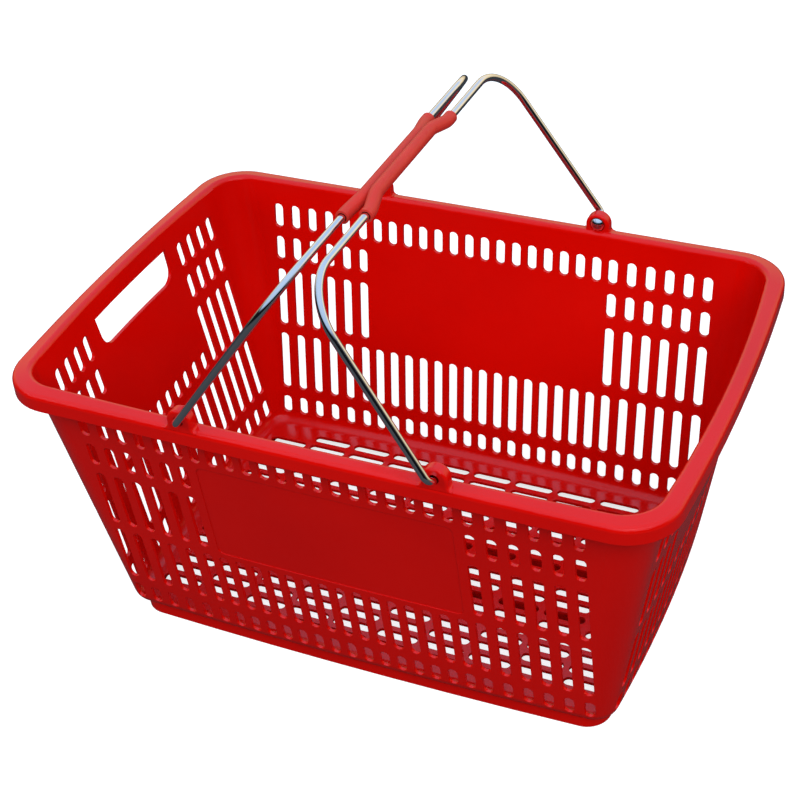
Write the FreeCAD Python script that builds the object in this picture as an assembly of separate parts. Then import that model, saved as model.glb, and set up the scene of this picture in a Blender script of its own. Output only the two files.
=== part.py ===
"""Hand shopping basket: one moulded, slotted basin with two folding wire handles.

Frame: millimetres, +X along the basket's length, +Y across its width, +Z up.
The origin is under the middle of the basket, on the surface that it stands on.
The handles are made as they stand raised, leaning on each other over the opening.
"""
import FreeCAD
import Part
import math
import os

V = FreeCAD.Vector

# ---- basin: walls, floor and foot ring ---------------------------------------------------
WALL = 2.4                    # moulded thickness, measured level
TOP_Z = 212.5                 # top of the rim, at its inner edge
FLOOR_Z = 10.9                # upper face of the floor
FLOOR_UNDER_Z = 8.5           # lower face of the floor
SIDE_FOOT = 110.4             # half width of the wall's middle surface at z = 0, at the corners
SIDE_DRAFT = 0.136            # how far the long walls lean out per millimetre of height
SIDE_CHORD = 170.0            # half chord over which the long walls' bow is measured
SIDE_BOW = (3.6, 2.2)         # outward bow of the long walls, at z = 0 and at the rim
END_FOOT = 172.9
END_DRAFT = 0.1666
END_CHORD = 110.0
END_BOW = (5.4, 5.4)
CORNER = (15.0, 25.0)         # radius of the wall's corners, at z = 0 and at the rim
OUTER_BOTTOM_RADIUS = 11.0
INNER_BOTTOM_RADIUS = OUTER_BOTTOM_RADIUS - WALL

FOOT_HALF_WIDTH = 108.4       # without the bows, which follow those of the walls
FOOT_HALF_LENGTH = 170.0
FOOT_SIDE_BOW = 3.2
FOOT_END_BOW = 4.0
FOOT_CORNER = 17.0
FOOT_WALL = 2.2
FOOT_RIB_Y = 22.3             # two ribs under the floor, along its length
FOOT_RIB = 1.8

# ---- rim ---------------------------------------------------------------------------------
RIM_HALF_WIDTH = 150.5
RIM_HALF_LENGTH = 223.2       # at the middle of the end, which bows out
RIM_END_BOW = 4.0
RIM_SIDE_BOW = 0.3
RIM_CORNER = 35.0
RIM_EDGE_Z = 210.8            # the rim's top slopes down to this at its outer edge
RIM_SLOPE = (15.0, 2.5)       # run and rise of that slope, which is cut off by the mouth
RIM_SKIRT_Z = 199.6           # lower edge of the outer skirt
RIM_WALL = 2.2
RIM_OUTER_ROUND = 3.6
RIM_INNER_ROUND = 3.2

# ---- slots -------------------------------------------------------------------------------
SLOT_WIDTH = 7.0
SIDE_PITCH = 12.0             # columns of the middle field of a long wall
SIDE_FIELD = 8                # last column of the middle field
SIDE_OUTER_PITCH = 13.6
SIDE_LAST = 13
END_PITCH = 12.6
END_LAST = 8
END_FIELD = 5                 # first column that runs beside the end wall's plain panel
ROW_1 = (184.8, 18.6)         # height of the row's middle, length of its slots
ROW_2 = (158.7, 18.8)
ROW_3 = (117.8, 47.0)
ROW_4 = (63.2, 48.0)
ROW_5 = (24.5, 14.6)
ROW_3_SHORT = (101.4, 14.2)   # short slots under the end wall's plain panel

FLOOR_SLOT = (29.4, 7.0)
FLOOR_PITCH = (33.4, 11.15)
FLOOR_COLUMNS = 5             # each side of the middle
FLOOR_ROWS = 9
FLOOR_LAST_ROW_COLUMNS = 4    # the outermost row stops short of the rounded corners

# ---- hand holes in the end walls -----------------------------------------------------------
HAND_HOLE_TOP_Z = 197.4
HAND_HOLE_BOTTOM_Z = 173.6
HAND_HOLE_HALF = (46.8, 45.6)  # half width at the top and at the bottom
HAND_HOLE_RADIUS = 11.0

# ---- plain panel on the long walls ---------------------------------------------------------
PANEL_HALF_LENGTH = 86.0
PANEL_Z = (91.5, 171.0)
PANEL_DEPTH = 0.45
PANEL_RADIUS = 5.0

# ---- lugs that carry the handles -------------------------------------------------------------
HINGE_X = 82.5
HINGE_Z = 217.4
LUG_OUTER_Y = 150.3
LUG_THICK = 8.2
LUG_HALF = 8.4
LUG_TOP_Z = 224.8
LUG_FOOT_Z = 211.0            # the lug's sides flare out into the rim at this height
LUG_FLARE = 2.5
LUG_ROUND = 1.8
LUG_HOLE = 6.4
LUG_RECESS = (10.6, 2.0)      # diameter and depth of the recess for the wire's cap

# ---- handles ---------------------------------------------------------------------------------
WIRE = 5.0
LEG_FOOT_Y = 155.75           # where a leg's line meets the hinge line
LEG_HEAD_Y = 146.8            # where a leg's line meets the bar's line
BAR_REACH = 131.2             # from the hinge to the bar, along the handle
CORNER_BEND = 34.6
EYE_BEND = 5.6
GRIP_STEP_Y = (41.5, 58.0)    # the bar steps over between these, under each end of the grip
GRIP_STEP = (4.2, 1.5)        # the step: outward along the handle, and towards its back
STEP_BEND = 22.0
SLEEVE_OUTER = 8.7
SLEEVE_BORE = 5.8
SLEEVE_HALF = 64.5
LEAN = {"left": 36.2, "right": 33.3}   # degrees from upright, towards the other handle
CAP = 9.4
CAP_RIM = 1.8
CAP_DOME = 2.6
CAP_GAP = 0.4                 # between the cap and the floor of its recess
PIN_IN_CAP = 2.2

# ---- helpers for cutting and fusing ----------------------------------------------------------
CUT_OVER = 6.0                # how far cutters reach past what they cut
SINK = 0.6                    # how far the foot ring reaches past the floor, before the inside is cut
TOUCH = 0.01                  # slack when edges are picked by where they lie


def lerp(pair, t):
    return pair[0] + (pair[1] - pair[0]) * t


def bow_radius(half_chord, bow):
    """Radius of the circle that bows out by bow over a chord of twice half_chord."""
    return (half_chord ** 2 + bow ** 2) / (2.0 * bow)


def corner_centre(side_centre, side_reach, end_centre, end_reach):
    """Point at the two given distances from the centres of a side's and an end's circle."""
    gap = end_centre - side_centre
    along = (side_reach ** 2 - end_reach ** 2 + gap.Length ** 2) / (2.0 * gap.Length)
    off = math.sqrt(side_reach ** 2 - along ** 2)
    gap.normalize()
    return side_centre + gap * along + V(gap.y, -gap.x, 0) * off


def bowed_outline(half_x, bow_x, chord_y, half_y, bow_y, chord_x, radius, grow, z):
    """Closed outline of four bowed sides joined by tangent corners, grown outward by grow."""
    side_r = bow_radius(chord_x, bow_y)
    end_r = bow_radius(chord_y, bow_x)
    side_centre = V(0, half_y + bow_y - side_r, 0)
    end_centre = V(half_x + bow_x - end_r, 0, 0)
    centre = corner_centre(side_centre, side_r - radius, end_centre, end_r - radius)
    to_side = (centre - side_centre).normalize()
    to_end = (centre - end_centre).normalize()
    side_touch = centre + to_side * (radius + grow)
    end_touch = centre + to_end * (radius + grow)
    corner_mid = centre + (to_side + to_end).normalize() * (radius + grow)
    side_mid = V(0, half_y + bow_y + grow, 0)
    end_mid = V(half_x + bow_x + grow, 0, 0)
    endward = (side_touch, corner_mid, end_touch, end_mid)
    sideward = (end_touch, corner_mid, side_touch, side_mid)
    ring = []
    for x, y, run in ((1, 1, endward), (1, -1, sideward), (-1, -1, endward), (-1, 1, sideward)):
        ring += [V(x * p.x, y * p.y, z) for p in run]
    ring.append(ring[0])
    arcs = [Part.Arc(*ring[i:i + 3]).toShape() for i in range(0, len(ring) - 1, 2)]
    return Part.Wire(arcs)


def wall_outline(z, grow):
    """Outline of the wall's middle surface at height z, grown outward by grow."""
    t = z / TOP_Z
    return bowed_outline(END_FOOT + END_DRAFT * z, lerp(END_BOW, t), END_CHORD,
                         SIDE_FOOT + SIDE_DRAFT * z, lerp(SIDE_BOW, t), SIDE_CHORD,
                         lerp(CORNER, t), grow, z)


def basin_block(bottom_z, top_z, grow, bottom_radius):
    """Solid that fills the basin's walls, with a rounded bottom edge."""
    block = Part.makeLoft([wall_outline(bottom_z, grow), wall_outline(top_z, grow)], True, True)
    if bottom_radius:
        edges = [e for e in block.Edges if e.BoundBox.ZMax < bottom_z + TOUCH]
        block = block.makeFillet(bottom_radius, edges)
    return block


def rim_outline(grow, z):
    return bowed_outline(RIM_HALF_LENGTH - RIM_END_BOW, RIM_END_BOW, RIM_HALF_WIDTH - RIM_CORNER,
                         RIM_HALF_WIDTH - RIM_SIDE_BOW, RIM_SIDE_BOW,
                         RIM_HALF_LENGTH - RIM_CORNER, RIM_CORNER, grow, z)


def rim_prism(z0, z1, grow):
    return Part.Face(rim_outline(grow, z0)).extrude(V(0, 0, z1 - z0))


def rim(outer_block):
    """Flange round the mouth with a skirt that hangs from its outer edge."""
    run, rise = RIM_SLOPE
    slope = Part.makeLoft([rim_outline(0.0, RIM_EDGE_Z), rim_outline(-run, RIM_EDGE_Z + rise)],
                          True, True)
    solid = rim_prism(RIM_SKIRT_Z, RIM_EDGE_Z, 0.0).fuse(slope)
    shoulder = [e for e in solid.Edges
                if RIM_EDGE_Z - TOUCH < e.BoundBox.ZMin and e.BoundBox.ZMax < RIM_EDGE_Z + TOUCH]
    solid = solid.makeFillet(RIM_OUTER_ROUND, shoulder)
    channel = rim_prism(RIM_SKIRT_Z - CUT_OVER, RIM_EDGE_Z - RIM_WALL, -RIM_WALL)
    return solid.cut(channel.cut(outer_block))


def foot_prism(grow):
    outline = bowed_outline(FOOT_HALF_LENGTH, FOOT_END_BOW, END_CHORD,
                            FOOT_HALF_WIDTH, FOOT_SIDE_BOW, SIDE_CHORD, FOOT_CORNER, grow, 0.0)
    return Part.Face(outline).extrude(V(0, 0, FLOOR_Z + SINK))


def foot_ring():
    """Ring that the basket stands on, with two ribs along it, all under the floor."""
    half_length = FOOT_HALF_LENGTH + FOOT_END_BOW - FOOT_WALL / 2
    ribs = []
    for side in (-1, 1):
        rib = Part.makeBox(2 * half_length, FOOT_RIB, FLOOR_Z + SINK)
        rib.translate(V(-half_length, side * FOOT_RIB_Y - FOOT_RIB / 2, 0))
        ribs.append(rib)
    return foot_prism(0.0).cut(foot_prism(-FOOT_WALL)).fuse(ribs)


def slot_profile(length, width):
    """Face of a slot with round ends, long side along X, in the XY plane."""
    r = width / 2.0
    h = length / 2.0 - r
    edges = [
        Part.LineSegment(V(-h, -r, 0), V(h, -r, 0)).toShape(),
        Part.Arc(V(h, -r, 0), V(h + r, 0, 0), V(h, r, 0)).toShape(),
        Part.LineSegment(V(h, r, 0), V(-h, r, 0)).toShape(),
        Part.Arc(V(-h, r, 0), V(-h - r, 0, 0), V(-h, -r, 0)).toShape(),
    ]
    return Part.Face(Part.Wire(edges))


def upright_slot(row, depth, towards_end):
    """Cutter for one wall slot, centred on the origin in plan, from the middle outward."""
    z, length = row
    face = slot_profile(length, SLOT_WIDTH)
    face.rotate(V(0, 0, 0), V(0, 1, 0), 90)
    if not towards_end:
        face.rotate(V(0, 0, 0), V(0, 0, 1), 90)
    face.translate(V(0, 0, z))
    return face.extrude(V(depth, 0, 0) if towards_end else V(0, depth, 0))


def side_column_x(column):
    inner = min(abs(column), SIDE_FIELD) * SIDE_PITCH
    outer = max(abs(column) - SIDE_FIELD, 0) * SIDE_OUTER_PITCH
    return math.copysign(inner + outer, column)


def side_wall_slots():
    """Cutters for both long walls."""
    cutters = []
    depth = 2 * (RIM_HALF_WIDTH + CUT_OVER)
    for row in (ROW_1, ROW_2, ROW_3, ROW_4, ROW_5):
        for column in range(-SIDE_LAST, SIDE_LAST + 1):
            if row in (ROW_2, ROW_3) and abs(column) < SIDE_FIELD:
                continue
            cutter = upright_slot(row, depth, False)
            cutter.translate(V(side_column_x(column), -depth / 2, 0))
            cutters.append(cutter)
    return cutters


def end_wall_slots():
    """Cutters for both end walls."""
    cutters = []
    depth = 2 * (RIM_HALF_LENGTH + CUT_OVER)
    for row in (ROW_1, ROW_2, ROW_3, ROW_3_SHORT, ROW_4, ROW_5):
        for column in range(-END_LAST, END_LAST + 1):
            beside_panel = abs(column) >= END_FIELD
            if row in (ROW_1, ROW_2, ROW_3) and not beside_panel:
                continue
            if row == ROW_3_SHORT and beside_panel:
                continue
            cutter = upright_slot(row, depth, True)
            cutter.translate(V(-depth / 2, column * END_PITCH, 0))
            cutters.append(cutter)
    return cutters


def floor_slots():
    cutters = []
    face = slot_profile(*FLOOR_SLOT)
    depth = FLOOR_Z - FLOOR_UNDER_Z + 2 * CUT_OVER
    for row in range(FLOOR_ROWS):
        columns = FLOOR_LAST_ROW_COLUMNS if row == FLOOR_ROWS - 1 else FLOOR_COLUMNS
        for column in range(columns):
            for side_x in (-1, 1):
                for side_y in (-1, 1):
                    cutter = face.extrude(V(0, 0, depth))
                    cutter.translate(V(side_x * (column + 0.5) * FLOOR_PITCH[0],
                                       side_y * (row + 0.5) * FLOOR_PITCH[1],
                                       FLOOR_UNDER_Z - CUT_OVER))
                    cutters.append(cutter)
    return cutters


def hand_hole():
    """Cutter for the hand holes of both ends: square top corners, round bottom corners."""
    top, bottom = HAND_HOLE_HALF
    points = [V(0, -top, HAND_HOLE_TOP_Z), V(0, top, HAND_HOLE_TOP_Z),
              V(0, bottom, HAND_HOLE_BOTTOM_Z), V(0, -bottom, HAND_HOLE_BOTTOM_Z)]
    face = Part.Face(Part.makePolygon(points + [points[0]]))
    depth = 2 * (RIM_HALF_LENGTH + CUT_OVER)
    prism = face.extrude(V(depth, 0, 0))
    low = [e for e in prism.Edges
           if e.BoundBox.XLength > TOUCH and e.BoundBox.ZMax < HAND_HOLE_BOTTOM_Z + TOUCH]
    prism = prism.makeFillet(HAND_HOLE_RADIUS, low)
    prism.translate(V(-depth / 2, 0, 0))
    return prism


def side_panels(outer_block):
    """Cutter for the shallow plain panel sunk into the outside of each long wall."""
    core = basin_block(PANEL_Z[0] - CUT_OVER, PANEL_Z[1] + CUT_OVER, WALL / 2 - PANEL_DEPTH, 0.0)
    height = PANEL_Z[1] - PANEL_Z[0]
    box = Part.makeBox(2 * PANEL_HALF_LENGTH, 2 * RIM_HALF_WIDTH, height,
                       V(-PANEL_HALF_LENGTH, -RIM_HALF_WIDTH, PANEL_Z[0]))
    corners = [e for e in box.Edges if e.BoundBox.YLength > RIM_HALF_WIDTH]
    box = box.makeFillet(PANEL_RADIUS, corners)
    return box.cut(core)


def lug_outline():
    """Face of a lug in the XZ plane: round top, straight sides that flare into the rim."""
    buried_z = RIM_EDGE_Z - RIM_WALL / 2
    crown_z = LUG_TOP_Z - LUG_HALF
    flare_z = LUG_FOOT_Z + LUG_FLARE
    wide = LUG_HALF + LUG_FLARE
    bend = LUG_FLARE * (1.0 - math.sqrt(0.5))
    right = [V(wide, 0, buried_z), V(wide, 0, LUG_FOOT_Z),
             V(LUG_HALF + bend, 0, LUG_FOOT_Z + bend), V(LUG_HALF, 0, flare_z),
             V(LUG_HALF, 0, crown_z)]
    left = [V(-p.x, 0, p.z) for p in right]
    return Part.Face(Part.Wire([
        Part.LineSegment(left[0], right[0]).toShape(),
        Part.LineSegment(right[0], right[1]).toShape(),
        Part.Arc(right[1], right[2], right[3]).toShape(),
        Part.LineSegment(right[3], right[4]).toShape(),
        Part.Arc(right[4], V(0, 0, LUG_TOP_Z), left[4]).toShape(),
        Part.LineSegment(left[4], left[3]).toShape(),
        Part.Arc(left[3], left[2], left[1]).toShape(),
        Part.LineSegment(left[1], left[0]).toShape(),
    ]))


def lug(side_x, side_y):
    """Upright ear on the rim, and the cutters for its hole and for the recess of the cap."""
    ear = lug_outline().extrude(V(0, LUG_THICK, 0))
    above_flare = LUG_FOOT_Z + LUG_FLARE + TOUCH
    rounded = [e for e in ear.Edges
               if e.BoundBox.YLength < TOUCH and e.BoundBox.ZMax > above_flare]
    ear = ear.makeFillet(LUG_ROUND, rounded)
    start = V(0, -CUT_OVER, HINGE_Z)
    hole = Part.makeCylinder(LUG_HOLE / 2, LUG_THICK + 2 * CUT_OVER, start, V(0, 1, 0))
    recess = Part.makeCylinder(LUG_RECESS[0] / 2, LUG_RECESS[1] + CUT_OVER, start, V(0, 1, 0))
    placed = []
    for shape in (ear, hole, recess):
        shape.translate(V(0, LUG_OUTER_Y - LUG_THICK, 0))
        if side_y < 0:
            shape = shape.mirror(V(0, 0, 0), V(0, 1, 0))
        shape.translate(V(side_x * HINGE_X, 0, 0))
        placed.append(shape)
    return placed


def basket_body():
    outer = basin_block(FLOOR_UNDER_Z, RIM_EDGE_Z, WALL / 2, OUTER_BOTTOM_RADIUS)
    inner = basin_block(FLOOR_Z, TOP_Z + CUT_OVER, -WALL / 2, INNER_BOTTOM_RADIUS)
    lugs = [lug(x, y) for x in (-1, 1) for y in (-1, 1)]
    basin = outer.fuse([rim(outer), foot_ring()]).cut(inner)
    mouth = [e for e in basin.Edges if e.BoundBox.ZMin > RIM_EDGE_Z + RIM_SLOPE[1] / 2]
    basin = basin.makeFillet(RIM_INNER_ROUND, mouth)
    body = basin.fuse([ear for ear, hole, recess in lugs])
    body = body.cut(Part.Compound([hole for ear, hole, recess in lugs]))
    body = body.cut(Part.Compound([recess for ear, hole, recess in lugs]))
    body = body.cut(Part.Compound(side_panels(outer).Solids))
    body = body.cut(Part.Compound(floor_slots()))
    body = body.cut(Part.Compound(side_wall_slots()))
    body = body.cut(Part.Compound(end_wall_slots() + [hand_hole()]))
    return body


def filleted_path(points, radii):
    """Wire of straight runs through points, with a tangent arc at each inner point."""
    edges = []
    start = points[0]
    for last, point, following, radius in zip(points, points[1:], points[2:], radii):
        to_last = (last - point).normalize()
        to_next = (following - point).normalize()
        half = to_last.getAngle(to_next) / 2.0
        reach = radius / math.tan(half)
        inward = (to_last + to_next).normalize()
        middle = point + inward * (radius / math.sin(half) - radius)
        bend_start = point + to_last * reach
        bend_end = point + to_next * reach
        edges.append(Part.LineSegment(start, bend_start).toShape())
        edges.append(Part.Arc(bend_start, middle, bend_end).toShape())
        start = bend_end
    edges.append(Part.LineSegment(start, points[-1]).toShape())
    return Part.Wire(edges)


def tube(path, outer, bore=0.0):
    """Round bar or sleeve along a path."""
    start = path.Edges[0].valueAt(path.Edges[0].FirstParameter)
    direction = path.Edges[0].tangentAt(path.Edges[0].FirstParameter)
    solids = []
    for diameter in (outer, bore):
        if diameter:
            ring = Part.Wire(Part.makeCircle(diameter / 2.0, start, direction))
            solids.append(path.makePipeShell([ring], True, False))
    return solids[0].cut(solids[1]) if bore else solids[0]


def handle_point(side, reach, y, back=0.0):
    """Point of a handle: reach along it from the hinge, y across, back behind its plane."""
    lean = math.radians(LEAN[side])
    sign = 1.0 if side == "right" else -1.0
    x = HINGE_X - reach * math.sin(lean) - back * math.cos(lean)
    z = HINGE_Z + reach * math.cos(lean) - back * math.sin(lean)
    return V(sign * x, y, z)


def grip_points(side, end_y):
    """The bar's line under the grip, with its two small steps, out to y = +/- end_y."""
    step, back = GRIP_STEP
    near, far = GRIP_STEP_Y
    return [
        handle_point(side, BAR_REACH, -end_y),
        handle_point(side, BAR_REACH, -far),
        handle_point(side, BAR_REACH + step, -near, back),
        handle_point(side, BAR_REACH + step, near, back),
        handle_point(side, BAR_REACH, far),
        handle_point(side, BAR_REACH, end_y),
    ]


def cap_base_y():
    """Where the caps' flat outer faces lie, just clear of the floors of their recesses."""
    return LUG_OUTER_Y - LUG_THICK + LUG_RECESS[1] - CAP_GAP


def handle_wire(side):
    """The whole wire of a handle, whose ends turn in through the lugs to stop in the caps."""
    pin_y = cap_base_y() - PIN_IN_CAP
    points = [handle_point(side, 0.0, -pin_y), handle_point(side, 0.0, -LEG_FOOT_Y)]
    points += grip_points(side, LEG_HEAD_Y)
    points += [handle_point(side, 0.0, LEG_FOOT_Y), handle_point(side, 0.0, pin_y)]
    radii = [EYE_BEND, CORNER_BEND] + [STEP_BEND] * 4 + [CORNER_BEND, EYE_BEND]
    return tube(filleted_path(points, radii), WIRE)


def grip_sleeve(side):
    path = filleted_path(grip_points(side, SLEEVE_HALF), [STEP_BEND] * 4)
    return tube(path, SLEEVE_OUTER, SLEEVE_BORE)


def end_cap(side, side_y):
    """Domed cap pushed on the wire's end, inside the lug's recess."""
    r = CAP / 2.0
    sphere_r = (r ** 2 + CAP_DOME ** 2) / (2 * CAP_DOME)
    rim_y = -CAP_RIM
    tip_y = rim_y - CAP_DOME
    half_angle = math.asin(r / sphere_r) / 2.0
    shoulder = V(sphere_r * math.sin(half_angle), tip_y + sphere_r * (1 - math.cos(half_angle)), 0)
    profile = Part.Wire([
        Part.LineSegment(V(0, -PIN_IN_CAP, 0), V(0, tip_y, 0)).toShape(),
        Part.Arc(V(0, tip_y, 0), shoulder, V(r, rim_y, 0)).toShape(),
        Part.LineSegment(V(r, rim_y, 0), V(r, 0, 0)).toShape(),
        Part.LineSegment(V(r, 0, 0), V(WIRE / 2, 0, 0)).toShape(),
        Part.LineSegment(V(WIRE / 2, 0, 0), V(WIRE / 2, -PIN_IN_CAP, 0)).toShape(),
        Part.LineSegment(V(WIRE / 2, -PIN_IN_CAP, 0), V(0, -PIN_IN_CAP, 0)).toShape(),
    ])
    cap = Part.Face(profile).revolve(V(0, 0, 0), V(0, 1, 0), 360)
    if side_y < 0:
        cap = cap.mirror(V(0, 0, 0), V(0, 1, 0))
    x = HINGE_X if side == "right" else -HINGE_X
    cap.translate(V(x, side_y * cap_base_y(), HINGE_Z))
    return cap


def build():
    parts = {"basket_body": basket_body()}
    for side in ("left", "right"):
        parts["handle_wire_" + side] = handle_wire(side)
        parts["grip_sleeve_" + side] = grip_sleeve(side)
        parts["end_cap_%s_front" % side] = end_cap(side, -1)
        parts["end_cap_%s_back" % side] = end_cap(side, 1)
    return parts


os.makedirs("parts", exist_ok=True)
for name, shape in build().items():
    print("%-22s solids %d  valid %s  volume %.0f" % (name, len(shape.Solids), shape.isValid(),
                                                     shape.Volume))
    shape.exportStep("parts/%s.step" % name)
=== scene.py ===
"""Looks of the hand shopping basket: camera, soft light, floor and procedural materials."""
import math

import bpy
from mathutils import Matrix, Vector


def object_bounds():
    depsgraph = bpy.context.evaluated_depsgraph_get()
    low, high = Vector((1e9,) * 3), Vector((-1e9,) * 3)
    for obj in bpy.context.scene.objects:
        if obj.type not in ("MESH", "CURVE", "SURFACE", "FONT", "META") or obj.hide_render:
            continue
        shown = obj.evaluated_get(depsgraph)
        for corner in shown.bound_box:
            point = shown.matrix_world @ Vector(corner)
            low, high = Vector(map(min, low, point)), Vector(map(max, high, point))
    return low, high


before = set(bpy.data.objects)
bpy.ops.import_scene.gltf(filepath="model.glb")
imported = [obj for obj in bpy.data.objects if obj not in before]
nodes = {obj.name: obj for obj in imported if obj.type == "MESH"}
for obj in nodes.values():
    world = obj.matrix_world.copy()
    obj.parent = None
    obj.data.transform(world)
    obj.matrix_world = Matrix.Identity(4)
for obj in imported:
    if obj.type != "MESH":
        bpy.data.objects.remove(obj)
cad_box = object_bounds()
SIDES = ("left", "right")
ENDS = ("front", "back")

# ---- camera: where it stands and how it is held -------------------------------------------
CAMERA_AT = Vector((0.3903, -0.8061, 0.8109))
CAMERA_TURN = math.radians(24.77)      # to the left of looking along +Y
CAMERA_DOWN = math.radians(36.56)
CAMERA_ROLL = math.radians(-3.56)
LENS_MM = 75.0
SENSOR_MM = 36.0
SHIFT = (-0.0459, -0.0015)
CLIP = (0.01, 50.0)

# ---- floor ---------------------------------------------------------------------------------
FLOOR_HALF = 9.0
FLOOR_DROP = 0.0004                    # below the foot, so that the two faces do not fight
FLOOR_TONE = (0.048, 0.50)             # as the basket sees it, and as the camera sees it
FLOOR_GLOW = 0.75                      # seen by the camera only, so that the floor looks pale
FLOOR_ROUGHNESS = 0.9

# ---- surroundings: colour by height above the horizon, in front of and behind the basket ----
COOL_SKY = [(0.0, (0.004, 0.004, 0.005)), (0.36, (0.008, 0.008, 0.011)), (0.50, (0.46, 0.62, 0.86)),
            (0.95, (0.58, 0.76, 1.02))]
WARM_SKY = [(0.0, (0.62, 0.50, 0.30)), (0.28, (1.12, 0.93, 0.62)), (0.44, (0.88, 0.86, 0.84)),
            (0.60, (0.50, 0.72, 1.02)), (0.95, (0.58, 0.76, 1.02))]
SKY_TURNS_WARM = (-0.25, 0.55)         # between these Y of the direction looked in
SKY_STRENGTH = 1.0
WHITE = (1.0, 1.0, 1.0, 1.0)

# ---- softboxes: place, width and height, watts -----------------------------------------------
SOFTBOXES = {
    "key_softbox": ((1.3, -1.7, 1.8), (2.2, 1.8), 66.0),
    "fill_softbox": ((-1.8, -1.2, 1.2), (1.4, 1.2), 22.0),
}
SOFTBOX_COLOUR = (0.93, 0.96, 1.0)

# ---- material colours and sizes, lengths in metres -------------------------------------------
PLASTIC_REDS = ((0.590, 0.0012, 0.0), (0.660, 0.0020, 0.0))
PLASTIC_ROUGHNESS = (0.17, 0.24)
MOULDED_EDGE = 0.0005
FLOW_MARK_DEPTH = 0.004
PLASTIC_GRAIN_DEPTH = 0.0004
WIRE_TINT = (0.86, 0.87, 0.89)
CAP_TINT = (0.88, 0.90, 0.94)
HAZE_SHARE = 0.90                      # what haze leaves of the plating's colour
CHROME_ROUGHNESS = (0.07, 0.15)
VINYL_REDS = ((0.54, 0.026, 0.016), (0.63, 0.036, 0.024))
VINYL_ROUGHNESS = (0.40, 0.52)
VINYL_GLOW_REACH = (0.004, 0.0008, 0.0006)
FINE_SKIN_DEPTH = 0.0002               # drawing lines on the wire and the skin of the vinyl


def add_camera():
    right = Vector((math.cos(CAMERA_TURN), math.sin(CAMERA_TURN), 0.0))
    forward = Vector((-math.sin(CAMERA_TURN) * math.cos(CAMERA_DOWN),
                      math.cos(CAMERA_TURN) * math.cos(CAMERA_DOWN),
                      -math.sin(CAMERA_DOWN)))
    up = right.cross(forward)
    roll_cos = math.cos(CAMERA_ROLL)
    roll_sin = math.sin(CAMERA_ROLL)
    rolled_right = right * roll_cos + up * roll_sin
    rolled_up = up * roll_cos - right * roll_sin
    data = bpy.data.cameras.new("camera")
    data.lens = LENS_MM
    data.sensor_width = SENSOR_MM
    data.shift_x, data.shift_y = SHIFT
    data.clip_start, data.clip_end = CLIP
    camera = bpy.data.objects.new("camera", data)
    bpy.context.scene.collection.objects.link(camera)
    pose = Matrix((rolled_right, rolled_up, -forward)).transposed().to_4x4()
    pose.translation = CAMERA_AT
    camera.matrix_world = pose
    bpy.context.scene.camera = camera


def grey(level):
    return (level, level, level)


class Graph:
    """Small helper that adds nodes to a node tree and links them by name."""

    def __init__(self, tree):
        self.tree = tree
        tree.nodes.clear()

    def add(self, kind, inputs=(), **settings):
        node = self.tree.nodes.new(kind)
        for key, value in settings.items():
            setattr(node, key, value)
        for key, value in dict(inputs).items():
            if isinstance(value, bpy.types.NodeSocket):
                self.tree.links.new(value, node.inputs[key])
            else:
                node.inputs[key].default_value = value
        return node

    def link(self, socket, node, name):
        self.tree.links.new(socket, node.inputs[name])

    def ramp(self, fac, stops):
        """Colours at their places, blended between; two stops or more."""
        node = self.add("ShaderNodeValToRGB", {"Fac": fac})
        elements = node.color_ramp.elements
        while len(elements) < len(stops):
            elements.new(1.0)
        for element, (place, colour) in zip(elements, stops):
            element.position = place
            element.color = (*colour, 1.0)
        return node.outputs["Color"]

    def noise(self, where, scale, detail, roughness=0.5):
        node = self.add("ShaderNodeTexNoise", {"Vector": where, "Scale": scale,
                                               "Detail": detail, "Roughness": roughness})
        return node.outputs["Fac"]

    def spread(self, fac, low, high):
        """Map 0..1 to low..high."""
        node = self.add("ShaderNodeMapRange", {"Value": fac, "To Min": low, "To Max": high})
        return node.outputs["Result"]


def new_material(name):
    """A material with a principled shader, and where on the piece a point is."""
    material = bpy.data.materials.new(name)
    material.use_nodes = True
    graph = Graph(material.node_tree)
    shader = graph.add("ShaderNodeBsdfPrincipled")
    graph.add("ShaderNodeOutputMaterial", {"Surface": shader.outputs["BSDF"]})
    where = graph.add("ShaderNodeTexCoord").outputs["Object"]
    return material, graph, shader, where


def basket_plastic():
    """Glossy moulded plastic: deep red, faint flow marks and handling scuffs, soft edges."""
    material, graph, shader, where = new_material("basket_red_plastic")
    dark, light = PLASTIC_REDS
    smooth, dull = PLASTIC_ROUGHNESS
    flow = graph.noise(where, scale=9.0, detail=4.0, roughness=0.55)
    fine = graph.noise(where, scale=160.0, detail=2.0)
    colour = graph.ramp(flow, [(0.30, dark), (0.72, light)])
    graph.link(colour, shader, "Base Color")
    scuff = graph.noise(where, scale=42.0, detail=5.0, roughness=0.7)
    rough = graph.ramp(scuff, [(0.35, grey(smooth)), (0.80, grey(dull))])
    graph.link(rough, shader, "Roughness")
    shader.inputs["Specular IOR Level"].default_value = 0.45
    edge = graph.add("ShaderNodeBevel", {"Radius": MOULDED_EDGE}, samples=4)
    ripple = graph.add("ShaderNodeBump", {"Height": flow, "Strength": 0.05,
                                          "Distance": FLOW_MARK_DEPTH,
                                          "Normal": edge.outputs["Normal"]})
    grain = graph.add("ShaderNodeBump", {"Height": fine, "Strength": 0.04,
                                         "Distance": PLASTIC_GRAIN_DEPTH,
                                         "Normal": ripple.outputs["Normal"]})
    graph.link(grain.outputs["Normal"], shader, "Normal")
    return material


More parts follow.
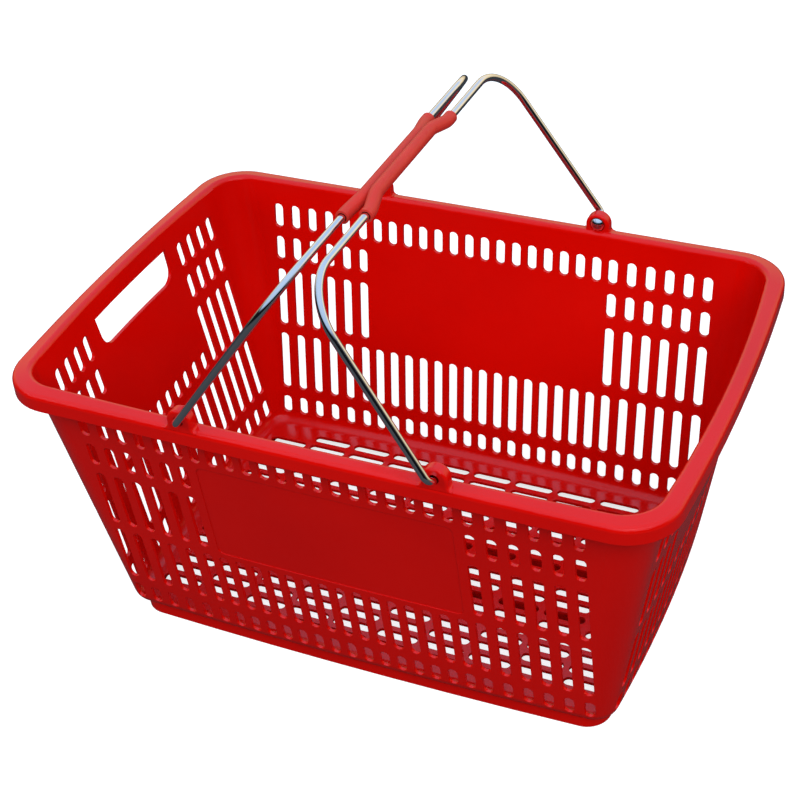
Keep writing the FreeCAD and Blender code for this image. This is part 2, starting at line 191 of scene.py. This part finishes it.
def chrome(name, tint):
    """Bright plating with faint drawing lines and a little haze."""
    material, graph, shader, where = new_material(name)
    hazed = tuple(HAZE_SHARE * channel for channel in tint)
    smooth, dull = CHROME_ROUGHNESS
    haze = graph.noise(where, scale=60.0, detail=4.0, roughness=0.6)
    colour = graph.ramp(haze, [(0.25, hazed), (0.75, tint)])
    graph.link(colour, shader, "Base Color")
    rough = graph.ramp(haze, [(0.30, grey(smooth)), (0.80, grey(dull))])
    graph.link(rough, shader, "Roughness")
    shader.inputs["Metallic"].default_value = 1.0
    drawn = graph.noise(where, scale=420.0, detail=2.0)
    bump = graph.add("ShaderNodeBump", {"Height": drawn, "Strength": 0.05,
                                        "Distance": FINE_SKIN_DEPTH})
    graph.link(bump.outputs["Normal"], shader, "Normal")
    return material


def grip_vinyl():
    """Satin soft vinyl tube: lighter red, slightly milky, with a fine skin."""
    material, graph, shader, where = new_material("grip_red_vinyl")
    dark, light = VINYL_REDS
    smooth, dull = VINYL_ROUGHNESS
    cloud = graph.noise(where, scale=30.0, detail=4.0, roughness=0.6)
    colour = graph.ramp(cloud, [(0.25, dark), (0.75, light)])
    graph.link(colour, shader, "Base Color")
    rough = graph.ramp(cloud, [(0.3, grey(smooth)), (0.8, grey(dull))])
    graph.link(rough, shader, "Roughness")
    shader.inputs["Specular IOR Level"].default_value = 0.3
    shader.inputs["Subsurface Weight"].default_value = 0.12
    shader.inputs["Subsurface Radius"].default_value = VINYL_GLOW_REACH
    shader.inputs["Subsurface Scale"].default_value = 0.5
    skin = graph.noise(where, scale=900.0, detail=2.0)
    bump = graph.add("ShaderNodeBump", {"Height": skin, "Strength": 0.12,
                                        "Distance": FINE_SKIN_DEPTH})
    graph.link(bump.outputs["Normal"], shader, "Normal")
    return material


def assign(node_name, material):
    mesh = nodes[node_name].data
    mesh.materials.clear()
    mesh.materials.append(material)


def add_floor():
    """A pale plane for the camera that is dark to everything else."""
    mesh = bpy.data.meshes.new("floor")
    h = FLOOR_HALF
    corners = [(-h, -h, 0.0), (h, -h, 0.0), (h, h, 0.0), (-h, h, 0.0)]
    mesh.from_pydata(corners, [], [(0, 1, 2, 3)])
    floor = bpy.data.objects.new("floor", mesh)
    bpy.context.scene.collection.objects.link(floor)
    floor.location.z = cad_box[0][2] - FLOOR_DROP
    material, graph, shader, _ = new_material("floor_white")
    seen = graph.add("ShaderNodeLightPath").outputs["Is Camera Ray"]
    graph.link(graph.spread(seen, *FLOOR_TONE), shader, "Base Color")
    graph.link(graph.spread(seen, 0.0, FLOOR_GLOW), shader, "Emission Strength")
    shader.inputs["Emission Color"].default_value = WHITE
    shader.inputs["Roughness"].default_value = FLOOR_ROUGHNESS
    shader.inputs["Specular IOR Level"].default_value = 0.0
    mesh.materials.append(material)


def add_softbox(name, aim, place, size, power):
    """A rectangular light that is not itself seen in the chrome."""
    data = bpy.data.lights.new(name, "AREA")
    data.shape = "RECTANGLE"
    data.size, data.size_y = size
    data.energy = power
    data.color = SOFTBOX_COLOUR
    light = bpy.data.objects.new(name, data)
    bpy.context.scene.collection.objects.link(light)
    light.location = place
    light.rotation_euler = (Vector(aim) - Vector(place)).to_track_quat("-Z", "Y").to_euler()
    light.visible_glossy = False


def add_world():
    """Surroundings that light the basket, and that the camera sees as plain white."""
    world = bpy.data.worlds.new("studio")
    bpy.context.scene.world = world
    world.use_nodes = True
    graph = Graph(world.node_tree)
    direction = graph.add("ShaderNodeTexCoord").outputs["Generated"]
    split = graph.add("ShaderNodeSeparateXYZ", {"Vector": direction})
    cool = graph.ramp(split.outputs["Z"], COOL_SKY)
    warm = graph.ramp(split.outputs["Z"], WARM_SKY)
    cool_until, warm_from = SKY_TURNS_WARM
    back_share = graph.add("ShaderNodeMapRange", {"Value": split.outputs["Y"],
                                                  "From Min": cool_until,
                                                  "From Max": warm_from},
                           interpolation_type="SMOOTHSTEP").outputs["Result"]
    sky = graph.add("ShaderNodeMixRGB", {"Fac": back_share, "Color1": cool, "Color2": warm})
    seen = graph.add("ShaderNodeLightPath").outputs["Is Camera Ray"]
    shown = graph.add("ShaderNodeMixRGB", {"Fac": seen, "Color1": sky.outputs["Color"],
                                           "Color2": WHITE})
    back = graph.add("ShaderNodeBackground", {"Color": shown.outputs["Color"],
                                              "Strength": SKY_STRENGTH})
    graph.add("ShaderNodeOutputWorld", {"Surface": back.outputs["Background"]})


def add_materials():
    assign("basket_body", basket_plastic())
    wire_chrome = chrome("wire_chrome", WIRE_TINT)
    cap_chrome = chrome("cap_chrome", CAP_TINT)
    vinyl = grip_vinyl()
    for side in SIDES:
        assign("handle_wire_" + side, wire_chrome)
        assign("grip_sleeve_" + side, vinyl)
        for end in ENDS:
            assign("end_cap_%s_%s" % (side, end), cap_chrome)


add_camera()
bpy.context.scene.view_settings.view_transform = "Standard"
add_world()
add_floor()
middle = (Vector(cad_box[0]) + Vector(cad_box[1])) / 2
for softbox, layout in SOFTBOXES.items():
    add_softbox(softbox, middle, *layout)
add_materials()
